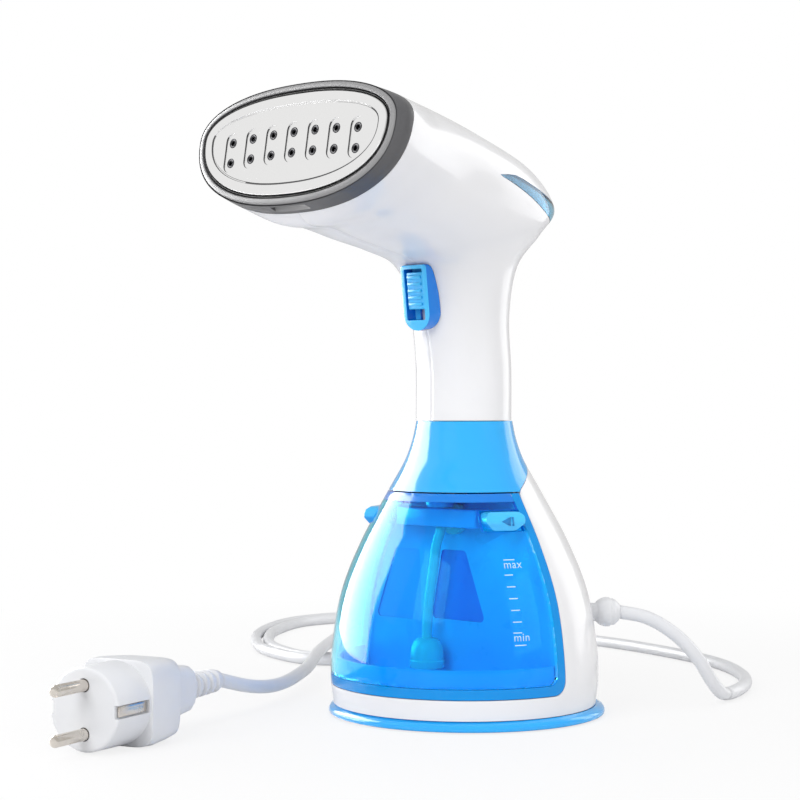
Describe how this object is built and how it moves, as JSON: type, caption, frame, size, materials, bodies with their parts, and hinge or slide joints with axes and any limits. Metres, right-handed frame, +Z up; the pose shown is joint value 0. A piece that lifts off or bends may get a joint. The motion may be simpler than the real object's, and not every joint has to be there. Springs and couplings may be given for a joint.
{
  "type": "handheld garment steamer",
  "caption": "Upright handheld garment steamer with an oval steam nozzle, a thumb switch, a front water tank that pulls off, and a corded plug in a travel adapter.",
  "frame": {"origin": "on the axis of the turned body, on the underside of the base plate's central pad, at the level of the feet on the floor", "axes": "+Z up, nozzle towards -Y, +X to the user's left"},
  "size_m": [0.3611, 0.4243, 0.2639],
  "materials": {
    "white_plastic": "glossy white moulded plastic",
    "grey_plastic": "satin dark grey moulded plastic",
    "polished_steel": "polished stainless steel",
    "bare_steel": "plain steel",
    "cast_aluminium": "die-cast aluminium",
    "sky_plastic": "glossy translucent light blue plastic",
    "cyan_plastic": "glossy bright cyan-blue plastic",
    "tank_plastic": "clear deep blue plastic",
    "lens_plastic": "clear light blue plastic",
    "rubber": "black silicone rubber",
    "silicone": "translucent silicone rubber",
    "copper": "enamelled copper winding",
    "circuit_board": "green circuit board",
    "nickel": "nickel-plated brass",
    "cord_plastic": "light grey-white soft plastic"
  },
  "bodies": {
    "steamer": {"housing_left": "white_plastic", "housing_right": "white_plastic", "housing_screw_1": "bare_steel", "housing_screw_2": "bare_steel", "nozzle_bezel": "grey_plastic", "nozzle_seal": "rubber", "steam_plate": "polished_steel", "diffuser_tray": "cast_aluminium", "boiler_body": "cast_aluminium", "boiler_cover": "cast_aluminium", "heating_element": "bare_steel", "thermostat": "bare_steel", "thermal_fuse": "bare_steel", "indicator_lens": "lens_plastic", "led_board": "circuit_board", "switch_bezel": "cyan_plastic", "microswitch": "grey_plastic", "control_board": "circuit_board", "pump_body": "white_plastic", "pump_coil": "copper", "pump_spring": "bare_steel", "pump_bracket": "cast_aluminium", "feed_hose": "silicone", "suction_hose": "silicone", "chassis": "white_plastic", "collar": "sky_plastic", "rear_shell": "white_plastic", "base_ring": "sky_plastic", "base_plate": "sky_plastic", "base_screw_1": "bare_steel", "base_screw_2": "bare_steel", "base_screw_3": "bare_steel", "foot_1": "rubber", "foot_2": "rubber", "foot_3": "rubber", "docking_nozzle": "white_plastic", "cord": "cord_plastic", "plug_body": "cord_plastic", "plug_blade_upper": "nickel", "plug_blade_lower": "nickel"},
    "slider": {"steam_slider": "cyan_plastic"},
    "plunger": {"microswitch_plunger": "copper"},
    "piston": {"pump_piston": "bare_steel"},
    "tank": {"tank_shell": "tank_plastic", "tank_frame": "cyan_plastic", "tank_valve": "white_plastic", "dip_hose": "silicone", "hose_weight": "white_plastic", "latch_carrier": "cyan_plastic", "button_spring_left": "bare_steel", "button_spring_right": "bare_steel"},
    "filler": {"filler_plug": "silicone"},
    "button_left": {"release_button_left": "cyan_plastic"},
    "button_right": {"release_button_right": "cyan_plastic"},
    "swivel": {"cord_ball": "cord_plastic"},
    "adapter": {"adapter_body": "cord_plastic", "adapter_pin_upper": "nickel", "adapter_pin_lower": "nickel", "earth_clip_left": "nickel", "earth_clip_right": "nickel"}
  },
  "joints": [
    {"name": "steam_slide", "type": "slide", "parent": "steamer", "child": "slider", "axis": [0, -0.1132, 0.9936], "range_m": [-0.0044, 0.0011]},
    {"name": "plunger_press", "type": "slide", "parent": "steamer", "child": "plunger", "axis": [0, 1, 0], "range_m": [-0.0002, 0.0006]},
    {"name": "pump_stroke", "type": "slide", "parent": "steamer", "child": "piston", "axis": [0, 0, 1], "range_m": [-0.002, 0.002], "deforming": ["pump_spring"]},
    {"name": "tank_release", "type": "slide", "parent": "steamer", "child": "tank", "axis": [0, -1, 0], "range_m": [0, 0.066]},
    {"name": "filler_lift", "type": "slide", "parent": "tank", "child": "filler", "axis": [0, 0, 1], "range_m": [0, 0.008]},
    {"name": "button_left_press", "type": "slide", "parent": "tank", "child": "button_left", "axis": [-0.9063, 0.4226, 0], "range_m": [0, 0.0025]},
    {"name": "button_right_press", "type": "slide", "parent": "tank", "child": "button_right", "axis": [0.9063, 0.4226, 0], "range_m": [0, 0.0025]},
    {"name": "cord_swivel", "type": "hinge", "parent": "steamer", "child": "swivel", "pos_m": [0.0411, 0.049, 0.043], "axis": [0.6426, 0.7662, 0], "range_deg": [-25, 25]},
    {"name": "adapter_pull", "type": "slide", "parent": "steamer", "child": "adapter", "axis": [0.2588, -0.9659, 0], "range_m": [-0.0055, 0.02]}
  ],
  "couplings": [
    {"joint": "plunger_press", "follows": "steam_slide", "ratio": -0.1132}
  ]
}
